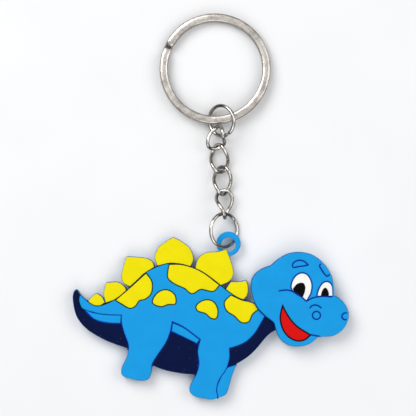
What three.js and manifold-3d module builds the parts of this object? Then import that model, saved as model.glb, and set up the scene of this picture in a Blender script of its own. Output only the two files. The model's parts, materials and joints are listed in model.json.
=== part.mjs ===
// Flat soft-PVC dinosaur charm on a split key ring: the charm, a jump ring through its hanging loop,
// four twisted curb links, a second jump ring and the split ring. Millimetres, +Z up.
// The charm lies on its back; +Y runs from its feet to the far side of the split ring.
import * as THREE from 'three';
import { mergeVertices } from 'three/addons/utils/BufferGeometryUtils.js';
import Module from 'manifold-3d';

const wasm = await Module();
wasm.setup();

// ---- Driving dimensions -------------------------------------------------------------------------

// Heights of the charm's moulded layers, from its back up.
const BASE_TOP = 2.6;
const LINE_TOP = 2.8;
const PANEL_TOP = 3.4;
const HEAD_BLOCK_TOP = 3.5;
const HEAD_LINE_TOP = 3.7;
const HEAD_TOP = 4.3;
const PUPIL_TOP = 4.45;

const RIM = 0.35; // how far the base shows outside the colour panels
const LINE = 0.34; // width of the dark line round a patch
const SEAM = 0.28; // least space between neighbouring panels
const HEAD_SEAM = 0.35; // space round the raised head
const UNDERLAY_INSET = 0.12; // the dark layer stops short of the panels' outer edge
const HEAD_UNDERLAY_INSET = 0.3;
const FACE_LINE = 0.34; // width of the lines drawn in the face

const EAR = { x: 4.6, y: -10.35, radius: 3.3, bottom: 1.75, top: 2.95 };
const EAR_HOLE = { x: 4.55, y: -10.62, radius: 1.95 };
const EAR_GAP = 0.35; // from the loop's raised part to the neighbouring panels

const WIRE = 0.95;
const WIRE_SIDES = 8;
const SPLIT_RING = {
  x: 0.95, y: 37, outer: 15, inner: 12.8, height: 2.4, edge: 0.35, groove: 0.22, tilt: 2.65, steps: 52,
};
const RING_TILT = 37; // degrees between a jump ring and the table
const UPPER_RING = { x: 2.7, y: 22.9, z: 2.97, radius: 4.1, lean: 9, gapAt: -62, gap: 0.5, steps: 40 };
const LOWER_RING = { x: 3.4, y: -6.7, z: 3.24, radius: 4.5, lean: 0, gapAt: 35, gap: 0.3, steps: 40 };

// A curb link is an oval of wire whose two ends are turned by LINK.twist degrees either way.
const LINK = { length: 7.45, width: 4.6, power: 2.4, twist: 45, steps: 32 };
// Each link's middle, its turn in the plane, its slope and its roll about its own length, in degrees.
const LINK_PLACES = [
  { x: 1.79, y: 17.92, z: 3.53, yaw: 15.6, pitch: 33.2, roll: 18.1 },
  { x: 2.1, y: 12.75, z: 2.0, yaw: -4.1, pitch: -2.6, roll: 9.1 },
  { x: 2.98, y: 6.71, z: 2.1, yaw: -1.0, pitch: -2.6, roll: -5.9 },
  { x: 3.5, y: 0.42, z: 2.69, yaw: -1.1, pitch: -10.3, roll: -40.1 },
];

const SAMPLE = 0.3; // spacing of the points that a curve is first walked at
const ROUND_STEP = 0.4; // radians turned by each facet of a rounded corner
const FLATNESS = 0.035; // how far a straight facet may lie from its curve
const LEAST_MITRE = 0.2; // stops the offset of a very sharp corner from running far out
const CLEARANCE = 0.002; // how much nearer than its offset a moved point may lie to the loop
const LEAST_STEP = 0.01; // moved points closer together than this are one point

const COLOUR = {
  blue: 0x2498e6, yellow: 0xf2e400, navy: 0x03123c, red: 0xde1010, white: 0xf8f6f3, black: 0x050508,
  darkLine: 0x061c24, blueLine: 0x0a2f9c, metal: 0xa9a69f,
};

// ---- Outlines of the charm, anticlockwise or clockwise; a third value of 1 marks a sharp corner ---

const BODY = [
  [-35.5, -24.3, 1], [-33.5, -26.1], [-31.2, -27.3], [-28.4, -26.7], [-25.2, -25.0], [-21.3, -21.6],
  [-18, -18.45], [-15.4, -17.0], [-12.4, -15.95], [-9, -15.85], [-5.5, -16.75], [-2.4, -18.15],
  [1.2, -20.75], [4, -23], [7.2, -25.1], [10.2, -26.1], [12, -26.8], [12.9, -28.1], [14.3, -29.9, 1],
  [13.3, -31.6], [11.6, -34.4], [9.4, -36.6], [7, -37.8], [4.7, -38.5, 1],
  [4.75, -41.2], [3.8, -44.3], [1.9, -47.2], [1.2, -50], [1.55, -51.8], [0.3, -52.35], [-2, -52.05],
  [-4.9, -51.3], [-5.85, -49.9], [-5.2, -47.9], [-3.9, -45.4], [-3.25, -42.7], [-3.6, -39.3],
  [-2.85, -36.2, 1], [-4.75, -34.7], [-7.7, -32.6], [-10.7, -31.2, 1],
  [-11.25, -34], [-12.55, -37.2], [-14.65, -40.3], [-16.15, -42.9], [-16.5, -45.6], [-17.4, -47.05],
  [-19.3, -47.25], [-22.1, -46.7], [-24.1, -45.8], [-24.2, -44.1], [-22.8, -41], [-22.3, -38],
  [-23.6, -34], [-24.2, -31.5], [-24.2, -29.5, 1], [-28, -29.4], [-31, -29], [-34.9, -27.7, 1],
  [-35.7, -25.7],
];
const TAIL_STRIP = [
  [-34, -28.35, 1], [-32.25, -29.05], [-28.5, -29.6], [-24.5, -29.7, 1],
  [-24.7, -31.75, 1], [-28.5, -31.5], [-31.6, -30.6],
];
const BELLY_STRIP = [
  [-10.4, -31.9, 1], [-7.6, -33.15], [-3.35, -36.3, 1], [-4, -37.15, 1], [-7.4, -35.45], [-10.65, -33.9, 1],
];
const TAIL_NAVY = [
  [-36.6, -22.85], [-37.3, -23.9], [-37.2, -27], [-36.2, -30.3], [-33.8, -33.2], [-31, -35.1],
  [-27.6, -36.8], [-22.5, -38.6, 1], [-23.1, -35.9], [-24.5, -32.1, 1], [-27.3, -32.1], [-30.5, -31.5],
  [-33.2, -30], [-34.96, -28], [-35.9, -25.75], [-35.9, -23.7],
];
const BELLY_NAVY = [
  [-11.05, -34.2, 1], [-7.5, -35.75], [-3.75, -37.6, 1], [-3.6, -41], [-3.9, -45.7, 1],
  [-8.5, -45.25], [-13, -44.3], [-16.1, -43.1, 1], [-13.9, -39.7], [-12.1, -36.9],
];
const THROAT_NAVY = [
  [14.35, -29.7, 1], [16.95, -31.7, 1], [17.35, -32.6], [17.2, -33.6, 1], [15.2, -35], [12.2, -38.5],
  [9.9, -40.7], [6.5, -42.9, 1], [4.4, -43.6, 1], [5, -41.2], [4.9, -38.75, 1], [7, -37.8],
  [9.4, -36.6], [11.65, -34.4], [13.3, -31.8],
];
const FAR_LEG = [
  [4.2, -44.1, 1], [5.4, -43.35], [6.4, -43.2], [5.4, -46.1], [4.6, -49], [3.7, -51.1], [1.75, -51.85, 1],
  [1.55, -49.4], [2.9, -46.1],
];
const PLATES = [
  [[-33.25, -26.1], [-32.4, -24.9], [-31.2, -23.95], [-29.8, -24.7], [-28.95, -26.2, 1],
    [-30.2, -26.95], [-32.2, -26.75]],
  [[-28.4, -20.95, 1], [-25.1, -20.9], [-23.9, -21.7], [-23.2, -23.05], [-25.3, -24.9],
    [-28.5, -26.2, 1], [-29.05, -24.1], [-28.85, -22.5]],
  [[-22.9, -13.95, 1], [-20.05, -14.1], [-17, -14.6], [-15.95, -15.5], [-15.6, -16.6, 1], [-18, -18.15],
    [-22.05, -21.8, 1], [-23.6, -20.95], [-24.25, -19.4], [-23.7, -16.6]],
  [[-10.4, -8.7, 1], [-12.2, -9.85], [-14.2, -11.4], [-15.25, -13.9], [-14.55, -16.2, 1],
    [-11.15, -15.45], [-8.2, -15.75], [-5.75, -16.35, 1], [-5, -14.4], [-5.9, -11.75], [-8.15, -9.85]],
  [[3.95, -11.95, 1], [1.65, -12.6], [-1.5, -12.9], [-3.5, -14.4], [-4.3, -17.05, 1], [-1.5, -18.7],
    [2.4, -21.5, 1], [4.8, -20.35], [5.85, -18.4], [5.2, -15.3]],
  [[5.25, -20.75, 1], [7.3, -20.75], [9.35, -20.4, 1], [9.8, -22.2], [9.5, -24.3], [8.3, -25.55, 1],
    [6.1, -24.3], [4, -22.6, 1]],
];
const REAR_PATCH = [
  [-25.7, -25.6, 1], [-22.2, -22.6], [-17.7, -18.5, 1], [-16.25, -20.7], [-16.45, -23.7], [-18, -25.2],
  [-19.55, -25.6], [-20.8, -27.2], [-22, -27.65], [-23.6, -26.85],
];
const SADDLE_PATCH = [
  [-11.35, -16.1, 1], [-8.15, -16.15], [-4.5, -17.2], [-1.9, -18.6], [1.95, -21.55, 1], [0.5, -23.05],
  [-1.1, -22.85], [-3, -22.55], [-5.25, -23.7], [-7.1, -22.35], [-10.15, -20.9], [-11.65, -19.45],
];
const SHOULDER_PATCH = [
  [5.28, -24.4, 1], [8, -25.65], [11.35, -26.6], [12.6, -27.9, 1], [10.9, -29.4], [9.9, -31.35],
  [8.25, -31.5], [6.2, -29.7], [4.2, -28.3], [3.65, -26.2],
];
const SPOT_1 = [
  [-15.8, -26.2], [-14.5, -23.75], [-12.2, -22.95], [-10.1, -24.2], [-9.9, -26.5], [-11.65, -26.6],
  [-13.7, -27.2],
];
const SPOT_2 = [
  [-4, -27.25], [-2.1, -25.8], [0.2, -26], [1.5, -28], [1.2, -30.4], [0, -30.35], [-1.5, -29.1],
  [-3.7, -28.3],
];
const HEAD = [
  [10.75, -22.1], [11.3, -19.4], [13.2, -17.5], [16.15, -16.3, 1], [18, -14.7], [20.8, -13.15],
  [24, -12.75], [27.3, -13.5], [30.3, -15.8], [32.35, -19], [32.85, -21.6], [32.95, -24.4, 1],
  [34.8, -25.4], [36.5, -27.7], [37, -29.9], [35.9, -32.9], [33.2, -35], [28.8, -35.5, 1],
  [26.7, -37.2], [24, -38], [21, -37.7], [18.6, -36], [17.4, -33.2], [16.95, -31.7, 1],
  [14.35, -29.5], [12.2, -27.1],
];

// The face, drawn on the raised head.
// The mouth includes its dark line; the whites of the eyes do not.
const MOUTH = [
  [19.2, -26.6, 1], [18.65, -28.5], [18.4, -30.3], [18.7, -32.3], [19.6, -34.3], [21, -35.8],
  [23.1, -36.7], [25.2, -36.4], [26.95, -34.95, 1], [25.4, -33.95], [23.3, -32.6], [21.4, -30.6],
  [20.1, -28.5],
];
const EYE_WHITES = [
  [[25.58, -25.55, 1], [24.5, -24.6], [23.2, -23.85], [22, -22.95], [21.65, -22.1], [21.8, -20.9],
    [22.4, -19.65], [23.3, -18.75], [24.35, -18.37], [25.4, -18.6], [26.3, -19.5], [26.85, -20.9],
    [26.93, -22.2], [26.6, -23.8]],
  [[28.65, -24.35, 1], [28.95, -23], [29.55, -21.8], [30.3, -20.95], [31.2, -20.7], [31.95, -21.05],
    [32.4, -21.8], [32.55, -22.9], [32.6, -24.35, 1]],
];
const PUPILS = [
  [[22.2, -23.3, 1], [21.95, -22.5, 1], [22.65, -21.55], [23.3, -21.05], [24.1, -20.83], [24.8, -20.95],
    [25.22, -21.6], [25.3, -22.5], [25.1, -23.5], [24.6, -24.7, 1]],
  [[29.45, -24.5, 1], [29.75, -23.3], [30.15, -22.55], [30.6, -22.18], [31.05, -22.35], [31.45, -23],
    [31.65, -23.8], [31.6, -24.5, 1]],
];
// The near brow and near nostril are whole rings of line; their outlines run along its middle.
const NEAR_BROW = [
  [22, -16.7], [21.85, -16.2], [22.15, -15.5], [22.9, -15], [23.9, -14.8], [24.9, -15.05], [25.6, -15.6],
  [26.1, -16.05, 1], [25, -16.3], [23.9, -16.42], [22.9, -16.6],
];
const NEAR_NOSTRIL = { x: 28.33, y: -29.67, radius: 1.07 };
const CHEEK_LINE = [
  [18.3, -23.05], [19.6, -22.88], [20.7, -22.88], [22.3, -23.4], [24, -24.47], [25.58, -25.84, 1],
  [27.05, -25.07], [28.8, -24.63], [30.6, -24.5], [32.2, -24.7],
];
const SMILE_LINE = [[26.8, -34.9], [27.85, -35.1], [29.2, -35.35]];
const NOSTRIL_LINE = [[26.6, -27.62], [27.05, -27.12], [27.8, -26.86], [28.6, -27], [29.6, -27.62]];
const FAR_BROW_LINE = [
  [29.4, -15.85], [29.15, -16.3], [29.55, -17.05], [30.15, -18], [30.75, -18.8], [31.3, -19.12],
  [31.8, -18.7],
];
const FAR_NOSTRIL_LINE = [
  [36.35, -29], [35.75, -29.1], [35.3, -29.5], [35.18, -30], [35.45, -30.55], [36, -30.86], [36.35, -30.8],
];
const FACE_LINES = [CHEEK_LINE, SMILE_LINE, NOSTRIL_LINE, FAR_BROW_LINE, FAR_NOSTRIL_LINE];

// The dark lines above this curve are green-black and those below it blue; it runs under the body panel.
const LINE_COLOUR_EDGE = [
  [-45, -28.1], [-33, -28.1], [-26, -28.6], [-20, -29], [-12, -28.8], [-6, -30], [2, -33], [9, -34],
  [13.2, -29.4], [20, -20],
];
const FAR_ABOVE = 10;

// ---- Flat curves --------------------------------------------------------------------------------

const distance = (a, b) => Math.hypot(a[0] - b[0], a[1] - b[1]);

function walkSpline(points, closed) {
  const path = new THREE.CatmullRomCurve3(
    points.map(([x, y]) => new THREE.Vector3(x, y, 0)), closed, 'centripetal');
  const steps = Math.max(2, Math.round(path.getLength() / SAMPLE));
  return path.getSpacedPoints(steps).map(({ x, y }) => [x, y]);
}

// Walks an open line through its points, smooth everywhere but at its marked corners.
function walkOpen(points) {
  const walked = [];
  let run = [points[0]];
  for (const point of points.slice(1)) {
    run.push(point);
    if (point[2] || point === points.at(-1)) {
      walked.push(...walkSpline(run, false).slice(0, -1));
      run = [point];
    }
  }
  walked.push(points.at(-1).slice(0, 2));
  return walked;
}

// Walks a closed outline in the same way, starting at a corner if it has one.
function walkClosed(points) {
  const first = points.findIndex((point) => point[2]);
  if (first < 0) {
    return walkSpline(points, true).slice(0, -1);
  }
  const turned = [...points.slice(first), ...points.slice(0, first), points[first]];
  return walkOpen(turned).slice(0, -1);
}

function distanceToSegment([x, y], [ax, ay], [bx, by]) {
  const dx = bx - ax;
  const dy = by - ay;
  const along = ((x - ax) * dx + (y - ay) * dy) / (dx * dx + dy * dy || 1);
  const t = Math.min(1, Math.max(0, along));
  return Math.hypot(x - ax - t * dx, y - ay - t * dy);
}

// Keeps only the points that an open line needs to stay within FLATNESS of itself.
function thinOpen(line) {
  let worst = 0;
  let at = 0;
  for (let i = 1; i < line.length - 1; i += 1) {
    const off = distanceToSegment(line[i], line[0], line.at(-1));
    if (off > worst) {
      worst = off;
      at = i;
    }
  }
  if (worst < FLATNESS) {
    return [line[0], line.at(-1)];
  }
  return [...thinOpen(line.slice(0, at + 1)).slice(0, -1), ...thinOpen(line.slice(at))];
}

function thinClosed(loop) {
  let far = 0;
  loop.forEach((point, i) => {
    if (distance(point, loop[0]) > distance(loop[far], loop[0])) {
      far = i;
    }
  });
  const there = thinOpen(loop.slice(0, far + 1));
  const back = thinOpen([...loop.slice(far), loop[0]]);
  return [...there.slice(0, -1), ...back.slice(0, -1)];
}

function signedArea(loop) {
  return loop.reduce((sum, [x, y], i) => {
    const [nx, ny] = loop[(i + 1) % loop.length];
    return sum + (x * ny - nx * y) / 2;
  }, 0);
}

// Moves a closed loop outwards by a distance, or inwards if it is negative, rounding outer corners.
function offsetLoop(loop, by) {
  const ccw = signedArea(loop) > 0 ? loop : [...loop].reverse();
  const count = ccw.length;
  const normal = (i) => {
    const a = ccw[i % count];
    const b = ccw[(i + 1) % count];
    const length = distance(a, b) || 1;
    return [(b[1] - a[1]) / length, (a[0] - b[0]) / length];
  };
  const moved = [];
  ccw.forEach((point, i) => {
    const before = normal(i + count - 1);
    const after = normal(i);
    const cross = before[0] * after[1] - before[1] * after[0];
    const turn = Math.atan2(cross, before[0] * after[0] + before[1] * after[1]);
    const rounded = turn * by > 0 ? Math.floor(Math.abs(turn) / ROUND_STEP) : 0;
    const reach = rounded ? by : by / Math.max(LEAST_MITRE, Math.cos(turn / 2));
    for (let k = 0; k <= rounded; k += 1) {
      const part = rounded ? k / rounded : 0.5;
      const angle = Math.atan2(before[1], before[0]) + turn * part;
      moved.push([point[0] + reach * Math.cos(angle), point[1] + reach * Math.sin(angle)]);
    }
  });
  // Where the loop turns the other way the moved points cross over, and come too close to it.
  const clear = moved.filter((point) => ccw.every(
    (a, i) => distanceToSegment(point, a, ccw[(i + 1) % count]) > Math.abs(by) - CLEARANCE));
  return clear.filter((point, i) => distance(point, clear[(i + 1) % clear.length]) > LEAST_STEP);
}

const grow = (outline, by) => thinClosed(by ? offsetLoop(walkClosed(outline), by) : walkClosed(outline));

// The outline of a smooth line drawn with a pen of some width, with square ends.
function strokeOutline(points, width) {
  const line = walkSpline(points, false);
  const there = [];
  const back = [];
  line.forEach((point, i) => {
    const a = line[Math.max(0, i - 1)];
    const b = line[Math.min(line.length - 1, i + 1)];
    const length = distance(a, b);
    const nx = ((a[1] - b[1]) / length) * (width / 2);
    const ny = ((b[0] - a[0]) / length) * (width / 2);
    there.push([point[0] + nx, point[1] + ny]);
    back.unshift([point[0] - nx, point[1] - ny]);
  });
  return thinClosed([...there, ...back]);
}

function circle({ x, y, radius }, sides = 24) {
  return Array.from({ length: sides }, (_, i) => {
    const angle = (2 * Math.PI * i) / sides;
    return [x + radius * Math.cos(angle), y + radius * Math.sin(angle)];
  });
}

// ---- Solids -------------------------------------------------------------------------------------

function toSolid(geometry) {
  geometry.deleteAttribute('normal');
  geometry.deleteAttribute('uv');
  const merged = mergeVertices(geometry, 1e-5);
  return new wasm.Manifold(new wasm.Mesh({
    numProp: 3,
    vertProperties: new Float32Array(merged.attributes.position.array),
    triVerts: new Uint32Array(merged.index.array),
  }));
}

function prism(loop, bottom, top) {
  const ccw = signedArea(loop) > 0 ? loop : [...loop].reverse();
  const shape = new THREE.Shape(ccw.map(([x, y]) => new THREE.Vector2(x, y)));
  const geometry = new THREE.ExtrudeGeometry(shape, { depth: top - bottom, bevelEnabled: false, steps: 1 });
  geometry.translate(0, 0, bottom);
  return toSolid(geometry);
}

// A drawn line as a solid: its smooth stretches, with a round dot at each end of each stretch.
function stroke(points, bottom, top) {
  const corners = points.flatMap((point, i) => (point[2] ? [i] : []));
  const ends = [0, ...corners, points.length - 1];
  const stretches = ends.slice(1).map((end, i) => points.slice(ends[i], end + 1));
  const dots = ends.map((i) => circle({ x: points[i][0], y: points[i][1], radius: FACE_LINE / 2 }, 10));
  const outlines = [...stretches.map((stretch) => strokeOutline(stretch, FACE_LINE)), ...dots];
  return join(outlines.map((outline) => prism(outline, bottom, top)));
}

const join = (solids) => solids.reduce((sum, solid) => sum.add(solid));
const cut = (solid, cutters) => cutters.reduce((left, cutter) => left.subtract(cutter), solid);

function toGeometry(solid) {
  const { vertProperties, triVerts } = solid.getMesh();
  const geometry = new THREE.BufferGeometry();
  geometry.setAttribute('position', new THREE.BufferAttribute(new Float32Array(vertProperties), 3));
  geometry.setIndex(new THREE.BufferAttribute(new Uint32Array(triVerts), 1));
  return geometry;
}

// ---- Assembly -----------------------------------------------------------------------------------

const group = new THREE.Group();

function addMesh(name, geometry, colour, finish = { roughness: 0.45, metalness: 0 }) {
  const mesh = new THREE.Mesh(geometry, new THREE.MeshStandardMaterial({ color: colour, ...finish }));
  mesh.name = name;
  group.add(mesh);
  return mesh;
}

const REGIONS = [
  BODY, TAIL_STRIP, BELLY_STRIP, TAIL_NAVY, BELLY_NAVY, THROAT_NAVY, FAR_LEG, ...PLATES,
];
const PATCHES = {
  rear_patch: REAR_PATCH, saddle_patch: SADDLE_PATCH, shoulder_patch: SHOULDER_PATCH,
  spot_1: SPOT_1, spot_2: SPOT_2,
};

// The pale blue back of the charm: everything's outline with a narrow rim, and the hanging loop.
function makeBase() {
  const slab = join([...REGIONS, HEAD].map((outline) => prism(grow(outline, RIM), 0, BASE_TOP)));
  const loop = prism(circle(EAR, 36), EAR.bottom, EAR.top);
  const raised = prism(grow(PLATES[4], RIM + EAR_GAP), BASE_TOP, EAR.top + 1);
  const hole = prism(circle(EAR_HOLE, 28), -1, EAR.top + 1);
  const base = slab.add(loop.subtract(raised)).subtract(hole);
  addMesh('charm_base', toGeometry(base), COLOUR.blue);
}

// The dark layer that shows as lines between the panels, in two colours. It lies a little inside each
// panel's edge, and runs across the seams between neighbouring panels.
function makeUnderlays() {
  const layer = (outline, by) => prism(grow(outline, by), BASE_TOP, LINE_TOP);
  const seamOf = (some, others) => join(some.map((outline) => layer(outline, RIM))).intersect(
    join(others.map((outline) => layer(outline, RIM))));
  const strips = [TAIL_STRIP, BELLY_STRIP];
  const navies = [TAIL_NAVY, BELLY_NAVY, THROAT_NAVY];
  const whole = join([
    ...REGIONS.map((outline) => layer(outline, -UNDERLAY_INSET)),
    seamOf([BODY], REGIONS.slice(1)),
    seamOf(navies, [...strips, FAR_LEG]),
  ]).subtract(prism(grow(HEAD, HEAD_SEAM), 0, HEAD_TOP));
  const above = [...thinOpen(walkOpen(LINE_COLOUR_EDGE)), [20, FAR_ABOVE], [-45, FAR_ABOVE]];
  const upperHalf = prism(above, 0, HEAD_TOP);
  const upperRoom = prism(offsetLoop(above, SEAM), 0, HEAD_TOP);
  addMesh('outline_upper', toGeometry(largest(whole.intersect(upperHalf))), COLOUR.darkLine);
  addMesh('outline_lower', toGeometry(largest(whole.subtract(upperRoom))), COLOUR.blueLine);
}

const largest = (solid) => solid.decompose().sort((a, b) => b.volume() - a.volume())[0];

function makeBodyPanels() {
  const panel = (loop) => prism(loop, LINE_TOP, PANEL_TOP);
  const headRoom = panel(grow(HEAD, HEAD_SEAM));
  const patchRoom = Object.values(PATCHES).map((outline) => panel(grow(outline, LINE)));
  const bodyRoom = panel(grow(BODY, SEAM));
  const stripRoom = [TAIL_STRIP, BELLY_STRIP].map((outline) => panel(grow(outline, SEAM)));
  const throatRoom = panel(grow(THROAT_NAVY, SEAM));

  const place = (name, outline, colour, cutters) => {
    addMesh(name, toGeometry(largest(cut(panel(grow(outline, 0)), cutters))), colour);
  };
  place('body_panel', BODY, COLOUR.blue, [...patchRoom, headRoom]);
  place('tail_strip', TAIL_STRIP, COLOUR.blue, [bodyRoom]);
  place('belly_strip', BELLY_STRIP, COLOUR.blue, [bodyRoom]);
  place('tail_navy', TAIL_NAVY, COLOUR.navy, [bodyRoom, ...stripRoom]);
  place('belly_navy', BELLY_NAVY, COLOUR.navy, [bodyRoom, ...stripRoom]);
  place('throat_navy', THROAT_NAVY, COLOUR.navy, [bodyRoom, headRoom]);
  place('far_leg', FAR_LEG, COLOUR.blue, [bodyRoom, throatRoom]);
  PLATES.forEach((outline, i) => {
    place(`plate_${i + 1}`, outline, COLOUR.yellow, [bodyRoom, headRoom]);
  });
  for (const [name, outline] of Object.entries(PATCHES)) {
    place(name, outline, COLOUR.yellow, [headRoom]);
  }
}

function makeHead() {
  const panel = (loop) => prism(loop, HEAD_LINE_TOP, HEAD_TOP);
  const ring = (change) => panel(circle({ ...NEAR_NOSTRIL, radius: NEAR_NOSTRIL.radius + change }));
  const half = FACE_LINE / 2;
  const rooms = [
    panel(grow(MOUTH, 0)), panel(grow(NEAR_BROW, half)), ring(half),
    ...EYE_WHITES.map((outline) => panel(grow(outline, FACE_LINE))),
    ...FACE_LINES.map((line) => stroke(line, HEAD_LINE_TOP, HEAD_TOP)),
  ];
  const headPanel = largest(cut(panel(grow(HEAD, 0)), rooms));
  addMesh('head_block', toGeometry(prism(grow(HEAD, 0), BASE_TOP, HEAD_BLOCK_TOP)), COLOUR.blue);
  addMesh('head_underlay',
    toGeometry(prism(grow(HEAD, -HEAD_UNDERLAY_INSET), HEAD_BLOCK_TOP, HEAD_LINE_TOP)), COLOUR.darkLine);
  addMesh('head_panel', toGeometry(headPanel), COLOUR.blue);
  addMesh('mouth_red', toGeometry(panel(grow(MOUTH, -FACE_LINE))), COLOUR.red);
  addMesh('near_brow', toGeometry(panel(grow(NEAR_BROW, -half))), COLOUR.blue);
  addMesh('near_nostril', toGeometry(ring(-half)), COLOUR.blue);
  const cheekRoom = stroke(CHEEK_LINE, HEAD_LINE_TOP, PUPIL_TOP);
  ['left', 'right'].forEach((side, i) => {
    const white = largest(panel(grow(EYE_WHITES[i], 0)).subtract(cheekRoom));
    addMesh(`eye_white_${side}`, toGeometry(white), COLOUR.white);
    const overWhite = prism(grow(EYE_WHITES[i], 0), HEAD_TOP, PUPIL_TOP).subtract(cheekRoom);
    const pupil = prism(grow(PUPILS[i], 0), HEAD_TOP, PUPIL_TOP).intersect(overWhite);
    addMesh(`pupil_${side}`, toGeometry(largest(pupil)), COLOUR.black);
  });
}

// ---- Rings and chain ----------------------------------------------------------------------------

const METAL_FINISH = { roughness: 0.28, metalness: 1 };
const radians = THREE.MathUtils.degToRad;

// A flat double coil: a rectangle with bevelled edges and a groove where the two coils meet.
function makeSplitRing() {
  const { outer, inner, height, edge, groove, steps } = SPLIT_RING;
  const half = height / 2;
  const profile = [
    [inner + edge, -half], [outer - edge, -half], [outer, -half + edge], [outer, -groove],
    [outer - groove, 0], [outer, groove], [outer, half - edge], [outer - edge, half],
    [inner + edge, half], [inner, half - edge], [inner, groove], [inner + groove, 0], [inner, -groove],
    [inner, -half + edge], [inner + edge, -half],
  ].map(([x, y]) => new THREE.Vector2(x, y));
  const geometry = new THREE.LatheGeometry(profile, steps);
  const ring = addMesh('split_ring', toGeometry(toSolid(geometry)), COLOUR.metal, METAL_FINISH);
  const tilt = radians(SPLIT_RING.tilt);
  ring.rotation.set(Math.PI / 2 - tilt, 0, 0);
  ring.position.set(SPLIT_RING.x, SPLIT_RING.y, half * Math.cos(tilt) + outer * Math.sin(tilt));
}

// Round wire bent to an arc, its two ends facing each other across a narrow gap.
function makeJumpRing(name, ring, tilt) {
  const halfGap = ring.gap / 2 / ring.radius;
  const start = radians(ring.gapAt) + halfGap;
  const sweep = 2 * Math.PI - 2 * halfGap;
  class RingPath extends THREE.Curve {
    getPoint(t, target = new THREE.Vector3()) {
      const angle = start + sweep * t;
      return target.set(ring.radius * Math.cos(angle), ring.radius * Math.sin(angle), 0);
    }
  }
  const section = new THREE.Shape(
    circle({ x: 0, y: 0, radius: WIRE / 2 }, WIRE_SIDES).map(([x, y]) => new THREE.Vector2(x, y)));
  const geometry = new THREE.ExtrudeGeometry(section, { extrudePath: new RingPath(), steps: ring.steps });
  const mesh = addMesh(name, toGeometry(toSolid(geometry)), COLOUR.metal, METAL_FINISH);
  mesh.rotation.set(0, radians(tilt), radians(ring.lean), 'ZYX');
  mesh.position.set(ring.x, ring.y, ring.z);
}

class CurbLinkPath extends THREE.Curve {
  getPoint(t, target = new THREE.Vector3()) {
    const angle = 2 * Math.PI * t;
    const bulge = (value) => Math.sign(value) * Math.abs(value) ** (2 / LINK.power);
    const across = (LINK.width / 2) * bulge(Math.cos(angle));
    const along = (LINK.length / 2) * bulge(Math.sin(angle));
    const twist = radians(LINK.twist) * Math.sin((along / LINK.length) * Math.PI);
    return target.set(across * Math.cos(twist), along, across * Math.sin(twist));
  }
}

function makeLink(name, place) {
  const geometry = new THREE.TubeGeometry(new CurbLinkPath(), LINK.steps, WIRE / 2, WIRE_SIDES, true);
  const mesh = addMesh(name, toGeometry(toSolid(geometry)), COLOUR.metal, METAL_FINISH);
  mesh.rotation.set(radians(place.pitch), -radians(place.roll), -radians(place.yaw), 'ZXY');
  mesh.position.set(place.x, place.y, place.z);
}

makeBase();
makeUnderlays();
makeBodyPanels();
makeHead();
makeSplitRing();
makeJumpRing('upper_jump_ring', UPPER_RING, -RING_TILT);
LINK_PLACES.forEach((place, i) => makeLink(`chain_link_${i + 1}`, place));
makeJumpRing('lower_jump_ring', LOWER_RING, RING_TILT);

// The origin is under the middle of the whole object.
const bounds = new THREE.Box3().setFromObject(group, true);
const middle = bounds.getCenter(new THREE.Vector3());
group.position.set(-middle.x, -middle.y, -bounds.min.z);

export default group;
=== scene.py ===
"""Soft-PVC dinosaur charm on a chain and split ring: the looks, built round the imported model."""

import json
import math

import bmesh
import bpy
import numpy as np
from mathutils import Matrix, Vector
from mathutils.geometry import delaunay_2d_cdt
from mathutils.kdtree import KDTree


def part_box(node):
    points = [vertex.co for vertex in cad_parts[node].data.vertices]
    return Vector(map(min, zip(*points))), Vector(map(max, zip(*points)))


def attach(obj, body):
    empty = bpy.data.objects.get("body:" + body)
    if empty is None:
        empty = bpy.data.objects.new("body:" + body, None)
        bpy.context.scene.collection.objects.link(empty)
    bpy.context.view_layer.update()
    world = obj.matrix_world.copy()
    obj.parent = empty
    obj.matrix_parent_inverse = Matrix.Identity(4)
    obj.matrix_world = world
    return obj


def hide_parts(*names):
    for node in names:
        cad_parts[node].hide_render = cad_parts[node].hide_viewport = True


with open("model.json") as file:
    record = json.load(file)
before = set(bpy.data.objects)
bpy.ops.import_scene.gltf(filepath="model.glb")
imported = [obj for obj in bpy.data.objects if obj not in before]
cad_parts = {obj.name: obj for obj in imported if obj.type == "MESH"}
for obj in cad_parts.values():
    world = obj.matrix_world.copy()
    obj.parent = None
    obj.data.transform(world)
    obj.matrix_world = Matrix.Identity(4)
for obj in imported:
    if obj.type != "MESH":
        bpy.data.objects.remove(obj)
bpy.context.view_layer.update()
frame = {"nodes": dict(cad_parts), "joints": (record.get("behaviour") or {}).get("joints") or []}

MM = 0.001
NODES = frame["nodes"]
JOINTS = {joint["name"]: joint for joint in frame["joints"]}

# ---- Camera, floor and light ---------------------------------------------------------------------

# The view is straight down, and as wide as VIEW_WIDTH at the height of the charm's face.
VIEW_CENTRE = (-0.75 * MM, -0.34 * MM)
VIEW_WIDTH = 112.4 * MM
FACE_HEIGHT = 3.4 * MM
CAMERA_HEIGHT = 600 * MM
SENSOR = 36.0

FLOOR_HALF = 0.9

# The room's brightness from the horizon, at 0, to straight up, at 1.
WORLD_STOPS = [(0.0, 0.03), (0.42, 0.05), (0.6, 0.68), (1.0, 0.72)]

# Each disk light's name, place and width in metres, and power in watts. All face the middle.
LIGHTS = [
    ("key", (-0.32, 0.36, 0.52), 0.50, 2.95),
    ("fill", (0.46, 0.10, 0.46), 0.50, 1.0),
    ("front", (0.02, -0.50, 0.46), 0.50, 0.8),
]


def make_camera():
    data = bpy.data.cameras.new("camera")
    data.sensor_width = SENSOR
    data.lens = SENSOR * (CAMERA_HEIGHT - FACE_HEIGHT) / VIEW_WIDTH
    data.clip_start = 0.01
    camera = bpy.data.objects.new("camera", data)
    camera.location = (VIEW_CENTRE[0], VIEW_CENTRE[1], CAMERA_HEIGHT)
    bpy.context.scene.collection.objects.link(camera)
    bpy.context.scene.camera = camera


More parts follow.
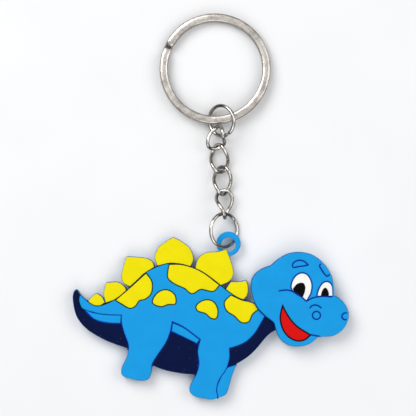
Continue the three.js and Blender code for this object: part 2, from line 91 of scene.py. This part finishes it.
def add_disk_light(name, place, width, power):
    data = bpy.data.lights.new(name, "AREA")
    data.shape = "DISK"
    data.size = width
    data.energy = power
    light = bpy.data.objects.new(name, data)
    light.location = place
    light.rotation_euler = (-Vector(place)).to_track_quat("-Z", "Y").to_euler()
    bpy.context.scene.collection.objects.link(light)


def make_world():
    """A room that is dark round the horizon and bright overhead, for the metal to mirror."""
    world = bpy.data.worlds.new("studio")
    world.use_nodes = True
    tree = world.node_tree
    direction = tree.nodes.new("ShaderNodeTexCoord").outputs["Generated"]
    split = tree.nodes.new("ShaderNodeSeparateXYZ")
    tree.links.new(direction, split.inputs["Vector"])
    sky = add_ramp(tree, split.outputs["Z"], WORLD_STOPS)
    tree.links.new(sky, tree.nodes["Background"].inputs["Color"])
    bpy.context.scene.world = world


def make_floor():
    corners = [(-1, -1), (1, -1), (1, 1), (-1, 1)]
    mesh = bpy.data.meshes.new("floor")
    mesh.from_pydata([(x * FLOOR_HALF, y * FLOOR_HALF, 0) for x, y in corners], [], [(0, 1, 2, 3)])
    floor = bpy.data.objects.new("floor", mesh)
    bpy.context.scene.collection.objects.link(floor)
    floor.data.materials.append(make_paper())


def make_studio():
    bpy.context.scene.view_settings.view_transform = "Standard"
    make_world()
    for light in LIGHTS:
        add_disk_light(*light)
    make_floor()


# ---- Materials -----------------------------------------------------------------------------------

# Noise scales, in cells to the metre, and the depths of the bumps that some of them make.
PVC_MOTTLE = 260
PVC_DUST = 2600
PVC_WEAR = 700
PVC_WAVES = 420
PVC_WAVE_DEPTH = 0.12 * MM
PVC_GRAIN = 5200
PVC_GRAIN_DEPTH = 0.02 * MM
METAL_PATCHES = 520
METAL_PITS = 3600
METAL_PIT_DEPTH = 0.03 * MM
PAPER_MOTTLE = 40

# Streaks run along the wire: their noise is laid out along and around it, then stretched.
METAL_STREAKS = 9
METAL_STREAK_DEPTH = 0.06 * MM
STREAK_STRETCH = (0.06, 1.6, 1)

# Soft PVC here is nearly matt: its dull skin mirrors little.
PVC_SPECULAR = 0.07
PVC_IOR = 1.5


def linear(red, green, blue):
    """A colour given in 0-255 display values, as the linear colour that a shader takes."""
    def channel(value):
        value /= 255
        return value / 12.92 if value <= 0.04045 else ((value + 0.055) / 1.055) ** 2.4
    return (channel(red), channel(green), channel(blue), 1.0)


def new_material(name):
    material = bpy.data.materials.new(name)
    material.use_nodes = True
    tree = material.node_tree
    return material, tree, tree.nodes["Principled BSDF"]


def add_noise(tree, vector, scale, detail=2.0, roughness=0.5):
    noise = tree.nodes.new("ShaderNodeTexNoise")
    noise.inputs["Scale"].default_value = scale
    noise.inputs["Detail"].default_value = detail
    noise.inputs["Roughness"].default_value = roughness
    tree.links.new(vector, noise.inputs["Vector"])
    return noise.outputs["Fac"]


def add_ramp(tree, value, stops):
    """Maps a value through colour stops, each a place from 0 to 1 and a colour or a grey."""
    ramp = tree.nodes.new("ShaderNodeValToRGB")
    elements = ramp.color_ramp.elements
    while len(elements) < len(stops):
        elements.new(0.5)
    for element, (place, colour) in zip(elements, stops):
        element.position = place
        element.color = colour if isinstance(colour, tuple) else (colour, colour, colour, 1)
    tree.links.new(value, ramp.inputs["Fac"])
    return ramp.outputs["Color"]


def add_bump(tree, height, distance, strength, normal=None):
    bump = tree.nodes.new("ShaderNodeBump")
    bump.inputs["Distance"].default_value = distance
    bump.inputs["Strength"].default_value = strength
    tree.links.new(height, bump.inputs["Height"])
    if normal is not None:
        tree.links.new(normal, bump.inputs["Normal"])
    return bump.outputs["Normal"]


def mixed(tree, factor, first, second):
    mix = tree.nodes.new("ShaderNodeMix")
    mix.data_type = "RGBA"
    tree.links.new(factor, mix.inputs["Factor"])
    for socket, value in ((mix.inputs["A"], first), (mix.inputs["B"], second)):
        if isinstance(value, tuple):
            socket.default_value = value
        else:
            tree.links.new(value, socket)
    return mix.outputs["Result"]


def scaled(colour, by):
    return tuple(min(1.0, channel * by) for channel in colour[:3]) + (1.0,)


def make_pvc(name, colour, roughness=0.42, specks=None):
    """Poured soft PVC: satin, faintly mottled, with a fine grain and a little dust or pigment in it."""
    material, tree, shader = new_material(name)
    place = tree.nodes.new("ShaderNodeTexCoord").outputs["Object"]
    mottle = add_noise(tree, place, PVC_MOTTLE, 3)
    base = add_ramp(tree, mottle, [(0.3, scaled(colour, 0.97)), (0.7, scaled(colour, 1.03))])
    if specks:
        dust = add_ramp(tree, add_noise(tree, place, PVC_DUST, 1), [(0.765, 0.0), (0.79, 0.55)])
        base = mixed(tree, dust, base, specks)
    tree.links.new(base, shader.inputs["Base Color"])
    worn = add_noise(tree, place, PVC_WEAR, 4, 0.6)
    rough = add_ramp(tree, worn, [(0.3, roughness - 0.06), (0.7, roughness + 0.08)])
    tree.links.new(rough, shader.inputs["Roughness"])
    waves = add_bump(tree, add_noise(tree, place, PVC_WAVES, 2), PVC_WAVE_DEPTH, 0.25)
    grain = add_bump(tree, add_noise(tree, place, PVC_GRAIN, 3), PVC_GRAIN_DEPTH, 0.35, waves)
    tree.links.new(grain, shader.inputs["Normal"])
    shader.inputs["Specular IOR Level"].default_value = PVC_SPECULAR
    shader.inputs["IOR"].default_value = PVC_IOR
    return material


def make_metal(name, colour, roughness, streak, flank_shade):
    """Nickel-plated steel, drawn and tumbled: streaks along its length, pits and dull patches.
    Painted shade: the flanks, the faces turned away from straight up or down, keep only a share of the
    colour that the tops have."""
    material, tree, shader = new_material(name)
    place = tree.nodes.new("ShaderNodeTexCoord")
    stretch = tree.nodes.new("ShaderNodeMapping")
    stretch.inputs["Scale"].default_value = STREAK_STRETCH
    tree.links.new(place.outputs["UV"], stretch.inputs["Vector"])
    streaks = add_noise(tree, stretch.outputs["Vector"], METAL_STREAKS, 4, 0.65)
    patches = add_noise(tree, place.outputs["Object"], METAL_PATCHES, 4, 0.6)
    dull = scaled(colour, 0.62)
    base = add_ramp(tree, patches, [(0.34, dull), (0.56, colour), (0.8, scaled(colour, 1.12))])
    facing = tree.nodes.new("ShaderNodeSeparateXYZ")
    tree.links.new(place.outputs["Normal"], facing.inputs["Vector"])
    upright = tree.nodes.new("ShaderNodeMath")
    upright.operation = "ABSOLUTE"
    tree.links.new(facing.outputs["Z"], upright.inputs[0])
    # Painted shade: faces that point up or down keep the full colour, and the flanks are darkened.
    unshaded_tops = add_ramp(tree, upright.outputs["Value"], [(0.35, 0.0), (0.92, 1.0)])
    base = mixed(tree, unshaded_tops, scaled(colour, flank_shade), base)
    tree.links.new(base, shader.inputs["Base Color"])
    rough = add_ramp(tree, streaks, [(0.3, roughness - 0.07), (0.72, roughness + 0.13)])
    tree.links.new(rough, shader.inputs["Roughness"])
    pits = add_noise(tree, place.outputs["Object"], METAL_PITS, 3, 0.6)
    along = add_bump(tree, streaks, METAL_STREAK_DEPTH, streak)
    tree.links.new(add_bump(tree, pits, METAL_PIT_DEPTH, 0.3, along), shader.inputs["Normal"])
    shader.inputs["Metallic"].default_value = 1.0
    return material


def make_paper():
    material, tree, shader = new_material("pale_floor")
    place = tree.nodes.new("ShaderNodeTexCoord").outputs["Object"]
    mottle = add_noise(tree, place, PAPER_MOTTLE, 2)
    base = add_ramp(tree, mottle, [(0.3, PAPER_SHADE), (0.7, PAPER)])
    tree.links.new(base, shader.inputs["Base Color"])
    shader.inputs["Roughness"].default_value = 0.75
    return material


BLUE = linear(22, 148, 216)
# Painted shade: the back slab is the body's blue PVC, painted darker for the shade on its thin rim and
# side walls.
SHADED_BACK_BLUE = linear(14, 108, 166)
YELLOW = linear(228, 214, 4)
NAVY = linear(0, 14, 58)
RED = linear(206, 14, 12)
WHITE = linear(236, 234, 232)
BLACK = linear(2, 2, 5)
DARK_LINE = linear(4, 32, 40)
BLUE_LINE = linear(2, 42, 146)
NICKEL = (0.80, 0.748, 0.69, 1)
DUST = (0.45, 0.5, 0.58, 1)
PAPER = (0.82, 0.825, 0.835, 1)
PAPER_SHADE = (0.80, 0.805, 0.815, 1)


def make_materials():
    return {
        "blue_pvc": make_pvc("blue_pvc", BLUE),
        "shaded_back_blue": make_pvc("shaded_back_blue", SHADED_BACK_BLUE),
        "yellow_pvc": make_pvc("yellow_pvc", YELLOW, 0.45),
        "navy_pvc": make_pvc("navy_pvc", NAVY, 0.4, specks=DUST),
        "dark_line_pvc": make_pvc("dark_line_pvc", DARK_LINE, 0.5),
        "blue_line_pvc": make_pvc("blue_line_pvc", BLUE_LINE, 0.5),
        "red_pvc": make_pvc("red_pvc", RED),
        "white_pvc": make_pvc("white_pvc", WHITE, 0.4),
        "black_pvc": make_pvc("black_pvc", BLACK, 0.3),
        # The last argument is the share of colour that the flanks keep, as painted shade.
        "chain_steel": make_metal("chain_steel", NICKEL, 0.15, streak=0.2, flank_shade=0.12),
        "ring_steel": make_metal("ring_steel", scaled(NICKEL, 0.84), 0.26, streak=0.4, flank_shade=0.4),
    }


# ---- Outlines read from the model's flat pieces --------------------------------------------------

# Points are SPACING apart, a turn past CORNER stays sharp, a face is flat to LEVEL, and corners
# of the model's faces within WELD of each other are one.
SPACING = 0.28 * MM
CORNER = math.radians(50)
LEVEL = 0.02 * MM
WELD = 0.002 * MM
LONGEST_MITRE = 2.0
TINY = 1e-9


def face_loops(node, top=True):
    """The edges of a flat piece's top or bottom face, each a ring of points anticlockwise round it."""
    mesh = bmesh.new()
    mesh.from_mesh(NODES[node].data)
    bmesh.ops.remove_doubles(mesh, verts=mesh.verts, dist=WELD)
    low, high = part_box(node)
    height = high.z if top else low.z
    faces = {face for face in mesh.faces if all(abs(vert.co.z - height) < LEVEL for vert in face.verts)}
    following = {}
    for face in faces:
        for corner in face.loops:
            if not any(other in faces for other in corner.edge.link_faces if other != face):
                following[corner.vert] = corner.link_loop_next.vert
    loops = []
    while following:
        start = next(iter(following))
        loop = []
        vert = start
        while vert in following:
            loop.append((vert.co.x, vert.co.y))
            vert = following.pop(vert)
        loops.append(np.array(loop if top else loop[::-1]))
    mesh.free()
    return loops


def units(vectors):
    return vectors / np.maximum(np.linalg.norm(vectors, axis=1, keepdims=True), TINY)


def left_normals(loop):
    """For each point, the way in from the edge, as long as a mitre needs."""
    ahead = units(np.roll(loop, -1, 0) - loop)
    mean = units(ahead + np.roll(ahead, 1, 0))
    stretch = 1 / np.clip((mean * ahead).sum(1, keepdims=True), 1 / LONGEST_MITRE, 1)
    return np.stack([-mean[:, 1], mean[:, 0]], 1) * stretch


def turns(loop):
    """The angle that a loop turns through at each point."""
    ahead = np.roll(loop, -1, 0) - loop
    angles = np.arctan2(ahead[:, 1], ahead[:, 0])
    return np.abs((angles - np.roll(angles, 1) + math.pi) % (2 * math.pi) - math.pi)


def smooth_run(points, closed):
    """Points every SPACING or so along a centripetal Catmull-Rom curve through the given ones,
    without the last point of an open run."""
    count = len(points)
    if closed:
        padded = np.vstack([points[-1:], points, points[:2]])
        spans = count
    else:
        padded = np.vstack([2 * points[:1] - points[1:2], points, 2 * points[-1:] - points[-2:-1]])
        spans = count - 1
    out = []
    for i in range(spans):
        p0, p1, p2, p3 = padded[i:i + 4]
        k1 = np.sqrt(np.linalg.norm(p1 - p0)) + TINY
        k2 = k1 + np.sqrt(np.linalg.norm(p2 - p1)) + TINY
        k3 = k2 + np.sqrt(np.linalg.norm(p3 - p2)) + TINY
        steps = max(1, round(float(np.linalg.norm(p2 - p1)) / SPACING))
        for t in np.linspace(k1, k2, steps, endpoint=False):
            a1 = (p0 * (k1 - t) + p1 * t) / k1
            a2 = (p1 * (k2 - t) + p2 * (t - k1)) / (k2 - k1)
            a3 = (p2 * (k3 - t) + p3 * (t - k2)) / (k3 - k2)
            b1 = (a1 * (k2 - t) + a2 * t) / k2
            b2 = (a2 * (k3 - t) + a3 * (t - k1)) / (k3 - k1)
            out.append((b1 * (k2 - t) + b2 * (t - k1)) / (k2 - k1))
    return out


def smooth_loop(loop):
    """A loop's facets replaced by a smooth curve, its sharp corners kept."""
    sharp = np.flatnonzero(turns(loop) > CORNER)
    if len(sharp) == 0:
        return np.array(smooth_run(loop, True))
    loop = np.roll(loop, -sharp[0], 0)
    sharp = list(sharp - sharp[0]) + [len(loop)]
    ring = np.vstack([loop, loop[:1]])
    out = []
    for first, last in zip(sharp, sharp[1:]):
        out += smooth_run(ring[first:last + 1], False)
    return np.array(out)


def inside(points, loops):
    """Which points lie inside an odd number of loops."""
    found = np.zeros(len(points), bool)
    for loop in loops:
        x1, y1 = loop.T
        x2, y2 = np.roll(loop, -1, 0).T
        for i, (x, y) in enumerate(points):
            crossing = (y1 > y) != (y2 > y)
            at = x1 + (y - y1) / np.where(crossing, y2 - y1, 1) * (x2 - x1)
            found[i] ^= bool(np.count_nonzero(crossing & (x < at)) % 2)
    return found


# ---- Moulded pieces ------------------------------------------------------------------------------

# A face is filled with points GRID apart and GRID_MARGIN in from its rim. It reaches most of its
# crown's height at CROWN_REACH in from the rim.
GRID = 0.8 * MM
GRID_MARGIN = 0.6 * GRID
CROWN_REACH = 0.9 * MM
EDGE_STEPS = 5


def wall_profile(bottom, top, edge, under_edge):
    """A wall's steps from bottom to top, each an inset and a height, its edges rounded."""
    quarter = [math.pi / 2 * k / EDGE_STEPS for k in range(EDGE_STEPS + 1)]
    steps = [(0.0, bottom + under_edge)]
    if under_edge:
        steps = [
            (under_edge * (1 - math.sin(angle)), bottom + under_edge * (1 - math.cos(angle)))
            for angle in quarter[:-1]
        ] + steps
    return steps + [
        (edge * (1 - math.cos(angle)), top - edge * (1 - math.sin(angle))) for angle in quarter
    ]


def moulded_mesh(loops, bottom, top, edge, crown, under_edge=0.0, spread=0.0):
    """A poured panel: upright walls, a rounded rim and a face that rises a little from the rim.
    The outline is first moved outwards by spread."""
    loops = [smooth_loop(loop) for loop in loops]
    loops = [loop - left_normals(loop) * spread for loop in loops]
    normals = [left_normals(loop) for loop in loops]
    levels = wall_profile(bottom, top, edge, under_edge)
    verts = []
    faces = []
    rings = []
    for loop, normal in zip(loops, normals):
        own = []
        for inset, z in levels:
            own.append(range(len(verts), len(verts) + len(loop)))
            verts += [(x, y, z) for x, y in loop + normal * inset]
        rings.append(own)
        for lower, upper in zip(own, own[1:]):
            for i in range(len(loop)):
                j = (i + 1) % len(loop)
                faces.append((lower[i], lower[j], upper[j], upper[i]))
    edge_tree = KDTree(sum(len(loop) for loop in loops))
    for i, point in enumerate(np.vstack(loops)):
        edge_tree.insert((*point, 0), i)
    edge_tree.balance()

    def cap(level, filled, flipped):
        """Closes the walls at one level, with a crowned face if it is filled with points."""
        outline = [loop + normal * levels[level][0] for loop, normal in zip(loops, normals)]
        flat = np.vstack(outline)
        ids = [i for own in rings for i in own[level]]
        links = []
        start = 0
        for loop in outline:
            links += [(start + i, start + (i + 1) % len(loop)) for i in range(len(loop))]
            start += len(loop)
        extra = grid_points(outline, edge_tree) if filled else np.zeros((0, 2))
        points = [Vector(p) for p in np.vstack([flat, extra])]
        coords, _, triangles, origins, _, _ = delaunay_2d_cdt(points, links, [], 1, TINY)
        index = {}
        for i, came in enumerate(origins):
            known = [n for n in came if n < len(flat)]
            if known:
                index[i] = ids[known[0]]
                continue
            index[i] = len(verts)
            depth = edge_tree.find((*coords[i], 0))[2] - edge
            rise = crown * (1 - math.exp(-max(0.0, depth) / CROWN_REACH))
            verts.append((coords[i].x, coords[i].y, levels[level][1] + rise))
        centres = np.array([[sum(coords[i][k] for i in t) / 3 for k in (0, 1)] for t in triangles])
        keep = inside(centres, outline)
        for good, triangle in zip(keep, triangles):
            if good:
                face = tuple(index[i] for i in triangle)
                faces.append(face[::-1] if flipped else face)

    cap(len(levels) - 1, True, False)
    cap(0, False, True)
    mesh = bpy.data.meshes.new("moulded")
    mesh.from_pydata(verts, [], faces)
    mesh.validate()
    return mesh


def grid_points(outline, edge_tree):
    """A triangular grid of points well inside an outline."""
    low = np.vstack(outline).min(0)
    high = np.vstack(outline).max(0)
    points = []
    row_height = GRID * math.sqrt(3) / 2
    for row in range(int((high[1] - low[1]) / row_height) + 1):
        y = low[1] + row * row_height
        for column in range(int((high[0] - low[0]) / GRID) + 1):
            points.append((low[0] + (column + row % 2 / 2) * GRID, y))
    points = np.array(points)
    depths = np.array([edge_tree.find((x, y, 0))[2] for x, y in points])
    points = points[depths > GRID_MARGIN]
    return points[inside(points, outline)]


def add_piece(name, mesh, slot, body, nodes, sharp=55, look=None):
    """A smooth-shaded piece of one body, in place of some of the model's nodes. Edges that turn past
    sharp degrees stay sharp, and look is its material where that isn't the slot's own."""
    mesh.name = name
    mesh.materials.append(MATERIALS[look or slot])
    for polygon in mesh.polygons:
        polygon.use_smooth = True
    mesh.set_sharp_from_angle(angle=math.radians(sharp))
    piece = bpy.data.objects.new(name, mesh)
    bpy.context.scene.collection.objects.link(piece)
    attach(piece, body)
    if nodes:
        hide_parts(*nodes)
    return piece


def make_panel(
    node, slot, sink=0.0, lift=0.0, edge=0.2 * MM, crown=0.07 * MM, spread=0.0, look=None
):
    """Replaces a flat node by its moulded form, its foot sunk into the layer below it."""
    low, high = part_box(node)
    mesh = moulded_mesh(face_loops(node), low.z - sink, high.z + lift, edge, crown, spread=spread)
    return add_piece(f"{node}_moulded", mesh, slot, "charm", [node], look=look)


# Each colour is poured a little past its edge, so that the lines between the colours look thin.
# The slab is a little smaller than its node.
PANEL_SPREAD = 0.04 * MM
LINE_SPREAD = 0.1 * MM
HEAD_LINE_SPREAD = 0.24 * MM
SLAB_SPREAD = -0.2 * MM
SLAB_EDGE = 0.12 * MM
SLAB_UNDER_EDGE = 0.22 * MM

# The lines' layers fill the seams between the colours up to LINE_LIFT above their nodes, and the
# colours stand PANEL_SINK deep in them.
LINE_LIFT = 0.42 * MM
LINE_EDGE = 0.05 * MM
PANEL_SINK = 0.22 * MM

PANELS = {
    "blue_pvc": ["body_panel", "tail_strip", "belly_strip", "far_leg"],
    "yellow_pvc": [f"plate_{number}" for number in range(1, 7)]
    + ["rear_patch", "saddle_patch", "shoulder_patch", "spot_1", "spot_2"],
    "navy_pvc": ["tail_navy", "belly_navy", "throat_navy"],
}


def make_slab():
    outline = face_loops("charm_base", False)
    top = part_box("outline_upper")[0].z
    mesh = moulded_mesh(outline, 0.0, top, SLAB_EDGE, 0.0, SLAB_UNDER_EDGE, SLAB_SPREAD)
    # Painted shade: the slab wears a darker copy of the body's blue.
    add_piece("charm_back", mesh, "blue_pvc", "charm", ["charm_base"], look="shaded_back_blue")


def make_line_layer(node, slot, spread, look=None):
    make_panel(node, slot, lift=LINE_LIFT, edge=LINE_EDGE, crown=0.0, spread=spread, look=look)


def make_charm():
    make_slab()
    make_hanging_loop()
    make_line_layer("outline_upper", "dark_line_pvc", LINE_SPREAD)
    make_line_layer("outline_lower", "blue_line_pvc", LINE_SPREAD)
    make_panel("head_block", "blue_pvc", lift=0.2 * MM, edge=0.06 * MM, crown=0.0)
    make_line_layer("head_underlay", "dark_line_pvc", HEAD_LINE_SPREAD, "blue_line_pvc")
    for slot, parts in PANELS.items():
        for node in parts:
            make_panel(node, slot, sink=PANEL_SINK, spread=PANEL_SPREAD)
    make_panel("head_panel", "blue_pvc", sink=PANEL_SINK, edge=0.24 * MM)
    make_mouth_line()
    make_panel("mouth_red", "red_pvc", lift=-0.06 * MM, edge=0.12 * MM)
    for node in ("near_brow", "near_nostril"):
        make_panel(node, "blue_pvc", edge=0.16 * MM, crown=0.04 * MM)
    for side in ("left", "right"):
        make_panel(f"eye_white_{side}", "white_pvc", edge=0.1 * MM, crown=0.05 * MM)
        make_panel(f"pupil_{side}", "black_pvc", sink=0.1 * MM, edge=0.06 * MM, crown=0.06 * MM)


MOUTH_LINE = 0.4 * MM
MOUTH_LINE_LIFT = 0.44 * MM


def make_mouth_line():
    """The black line round the mouth, poured between the red of the mouth and the blue of the head."""
    low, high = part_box("head_underlay")
    outlines = [loop - left_normals(loop) * MOUTH_LINE for loop in face_loops("mouth_red")]
    mesh = moulded_mesh(outlines, low.z, high.z + MOUTH_LINE_LIFT, LINE_EDGE, 0.0)
    add_piece("mouth_line", mesh, "black_pvc", "charm", [])


# The hole's middle is HOLE_DROP below the middle of the loop's rim.
HOLE_RADIUS = 1.95 * MM
HOLE_DROP = 0.27 * MM
LOOP_THICKNESS = 1.2 * MM
LOOP_EDGE = 0.3 * MM
LOOP_CROWN = 0.03 * MM
LOOP_SIDES = 40


def circle(radius, sides):
    angles = np.linspace(0, 2 * math.pi, sides, endpoint=False)
    return radius * np.stack([np.cos(angles), np.sin(angles)], 1)


def make_hanging_loop():
    """The round eye that the lower jump ring passes through, moulded in one with the back."""
    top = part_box("charm_base")[1].z
    # The loop's top face is an open C, which still touches the rim's left, right and far sides.
    raised = max(face_loops("charm_base"), key=len)
    low, high = raised.min(0), raised.max(0)
    radius = (high[0] - low[0]) / 2
    centre = np.array([(low[0] + high[0]) / 2, high[1] - radius])
    rim = centre + circle(radius, LOOP_SIDES)
    hole = (centre - np.array([0, HOLE_DROP]) + circle(HOLE_RADIUS, LOOP_SIDES))[::-1]
    bottom = top - LOOP_THICKNESS
    mesh = moulded_mesh([rim, hole], bottom, top, LOOP_EDGE, LOOP_CROWN, LOOP_EDGE)
    add_piece("hanging_loop", mesh, "blue_pvc", "charm", [])


# ---- Metal pieces --------------------------------------------------------------------------------

WIRE_RADIUS = 0.475 * MM
WIRE_SIDES = 20

# How far the streaks' pattern runs once round a section.
STREAKS_AROUND = 3


def swept_mesh(path, side, section, closed, scale=None):
    """A section carried along a path. side gives each step's first section axis, roughly, and scale
    its size. The first texture coordinate is the distance along the path in millimetres."""
    path = np.asarray(path)
    count = len(path)
    if closed:
        tangent = np.roll(path, -1, 0) - np.roll(path, 1, 0)
    else:
        tangent = np.gradient(path, axis=0)
    tangent /= np.linalg.norm(tangent, axis=1, keepdims=True)
    side = side - tangent * (side * tangent).sum(1, keepdims=True)
    side /= np.linalg.norm(side, axis=1, keepdims=True)
    other = np.cross(tangent, side)
    scale = np.ones(count) if scale is None else scale
    verts = []
    for p, a, b, s in zip(path, side, other, scale):
        verts += [tuple(p + (a * u + b * v) * s) for u, v in section]
    around = len(section)
    steps = count if closed else count - 1
    faces = []
    for i in range(steps):
        j = (i + 1) % count
        for k in range(around):
            n = (k + 1) % around
            faces.append((i * around + k, i * around + n, j * around + n, j * around + k))
    if not closed:
        faces.append(tuple(range(around))[::-1])
        faces.append(tuple((count - 1) * around + k for k in range(around)))
    mesh = bpy.data.meshes.new("swept")
    mesh.from_pydata(verts, [], faces)
    lengths = np.r_[0, np.cumsum(np.linalg.norm(np.diff(path, axis=0), axis=1))] / MM
    uv = mesh.uv_layers.new(name="along")
    for polygon in mesh.polygons:
        for corner in polygon.loop_indices:
            vert = mesh.loops[corner].vertex_index
            uv.data[corner].uv = (lengths[vert // around], (vert % around) / around * STREAKS_AROUND)
    return mesh


def plane_of(node):
    """A flat ring's middle and the unit vector across it, upwards, from its own vertices."""
    points = np.array([vert.co for vert in NODES[node].data.vertices])
    middle = (points.max(0) + points.min(0)) / 2
    _, _, axes = np.linalg.svd(points - points.mean(0), full_matrices=False)
    normal = axes[2] if axes[2][2] > 0 else -axes[2]
    return middle, normal, points


def ring_axes(normal):
    """Two unit vectors in a ring's plane: rightwards, and at a right angle to it."""
    across = np.cross([0, 1, 0], normal)
    across /= np.linalg.norm(across)
    return across, np.cross(normal, across)


RING_STEPS = 110
WIRE_END_SCALE = 0.86


def make_jump_ring(node, body, gap_at, gap):
    """Round wire bent into a circle, its cut ends a gap apart at an angle from the ring's right."""
    middle, normal, points = plane_of(node)
    offsets = points - middle
    height = offsets @ normal
    flat = np.linalg.norm(offsets - np.outer(height, normal), axis=1)
    radius = (flat.max() + flat.min()) / 2
    across, along = ring_axes(normal)
    half = gap / radius / 2
    angles = np.linspace(gap_at + half, gap_at + 2 * math.pi - half, RING_STEPS)
    outward = np.outer(np.cos(angles), across) + np.outer(np.sin(angles), along)
    scale = np.ones(RING_STEPS)
    scale[[0, -1]] = WIRE_END_SCALE
    path = middle + radius * outward
    mesh = swept_mesh(path, outward, circle(WIRE_RADIUS, WIRE_SIDES), False, scale)
    add_piece(f"{node}_wire", mesh, "chain_steel", body, [node], sharp=40)


# A link is a superellipse of LINK_POWER before it is twisted. The last one is rounder, to swing
# clear of its neighbours.
LINK_WIDTH = 4.6 * MM
LINK_POWER = 2.7
LAST_LINK_POWER = 2.45
LINK_TWIST = math.radians(45)
LINK_STEPS = 120
SEAM_SCALE = 0.9


def superellipse(width, height, power, angles):
    """Points of an oval, squarer the higher its power."""
    x, y = np.cos(angles), np.sin(angles)
    x = width / 2 * np.sign(x) * np.abs(x) ** (2 / power)
    y = height / 2 * np.sign(y) * np.abs(y) ** (2 / power)
    return x, y


def make_link(number, body, joint, power=LINK_POWER):
    """A curb link: an oval of wire, its two ends turned opposite ways. Its far bow's middle and
    direction are those of the joint that the next piece swings on."""
    node = f"chain_link_{number}"
    points = np.array([vert.co for vert in NODES[node].data.vertices])
    middle = (points.max(0) + points.min(0)) / 2
    bow = np.array(JOINTS[joint]["pos_m"])
    bow_line = np.array(JOINTS[joint]["axis"])
    along = bow - middle
    length = 2 * np.linalg.norm(along)
    along /= np.linalg.norm(along)
    upright = np.cross(bow_line, along)
    across = bow_line * math.cos(LINK_TWIST) - upright * math.sin(LINK_TWIST)
    across -= along * (across @ along)
    across /= np.linalg.norm(across)
    upright = np.cross(across, along)
    angles = np.linspace(0, 2 * math.pi, LINK_STEPS, endpoint=False)
    x, y = superellipse(LINK_WIDTH, length, power, angles)
    twist = LINK_TWIST * np.sin(y / length * math.pi)
    path = middle + np.outer(x * np.cos(twist), across) + np.outer(y, along)
    path += np.outer(x * np.sin(twist), upright)
    path = even_steps(path, LINK_STEPS)
    seam = np.ones(LINK_STEPS)
    seam[0] = SEAM_SCALE
    side = np.tile(upright, (LINK_STEPS, 1))
    mesh = swept_mesh(path, side, circle(WIRE_RADIUS, WIRE_SIDES), True, seam)
    add_piece(f"{node}_wire", mesh, "chain_steel", body, [node], sharp=60)


def even_steps(path, count):
    """A closed path's points, moved to be evenly apart along it."""
    ring = np.vstack([path, path[:1]])
    travelled = np.r_[0, np.cumsum(np.linalg.norm(np.diff(ring, axis=0), axis=1))]
    at = np.linspace(0, travelled[-1], count, endpoint=False)
    return np.stack([np.interp(at, travelled, ring[:, k]) for k in range(3)], 1)


# The coil starts its lower turn at COIL_START, climbs over the last RAMP of that turn, and ends
# CUT_GAP short of the ramp on its upper turn.
COIL_START = math.radians(149)
RAMP = math.radians(8)
CUT_GAP = math.radians(5)
COIL_GAP = 0.06 * MM
COIL_STEPS = 420
STRIP_POWER = 2.8
STRIP_SIDES = 36


def strip_section(width, height):
    """A strip of flattened wire: faces that bulge a little, and rounded edges."""
    angles = np.linspace(0, 2 * math.pi, STRIP_SIDES, endpoint=False)
    return np.stack(superellipse(width, height, STRIP_POWER, angles), 1)


def make_split_ring():
    """One flat strip wound twice: it climbs from the lower turn to the upper one on a short ramp."""
    middle, normal, points = plane_of("split_ring")
    offsets = points - middle
    level = offsets @ normal
    flat = np.linalg.norm(offsets - np.outer(level, normal), axis=1)
    width = flat.max() - flat.min()
    radius = (flat.max() + flat.min()) / 2
    strip = np.ptp(level) / 2 - COIL_GAP / 2
    across, along = ring_axes(normal)
    total = 4 * math.pi - RAMP - CUT_GAP
    walked = np.linspace(0, total, COIL_STEPS)
    climb = np.clip((walked - (2 * math.pi - RAMP)) / RAMP, 0, 1)
    climb = climb * climb * (3 - 2 * climb)
    height = (climb * 2 - 1) * (strip + COIL_GAP) / 2
    angles = COIL_START - walked
    outward = np.outer(np.cos(angles), across) + np.outer(np.sin(angles), along)
    path = middle + radius * outward + np.outer(height, normal)
    mesh = swept_mesh(path, outward, strip_section(width, strip), False)
    add_piece("split_ring_coil", mesh, "ring_steel", "key_ring", ["split_ring"], sharp=45)


def make_metalwork():
    make_jump_ring("lower_jump_ring", "lower_ring", gap_at=math.radians(35), gap=0.3 * MM)
    make_link(4, "link_4", "link_3_swing", LAST_LINK_POWER)
    make_link(3, "link_3", "link_2_swing")
    make_link(2, "link_2", "link_1_swing")
    make_link(1, "link_1", "upper_ring_swing")
    make_jump_ring("upper_jump_ring", "upper_ring", gap_at=math.radians(-62), gap=0.5 * MM)
    make_split_ring()


MATERIALS = make_materials()
make_camera()
make_studio()
make_charm()
make_metalwork()
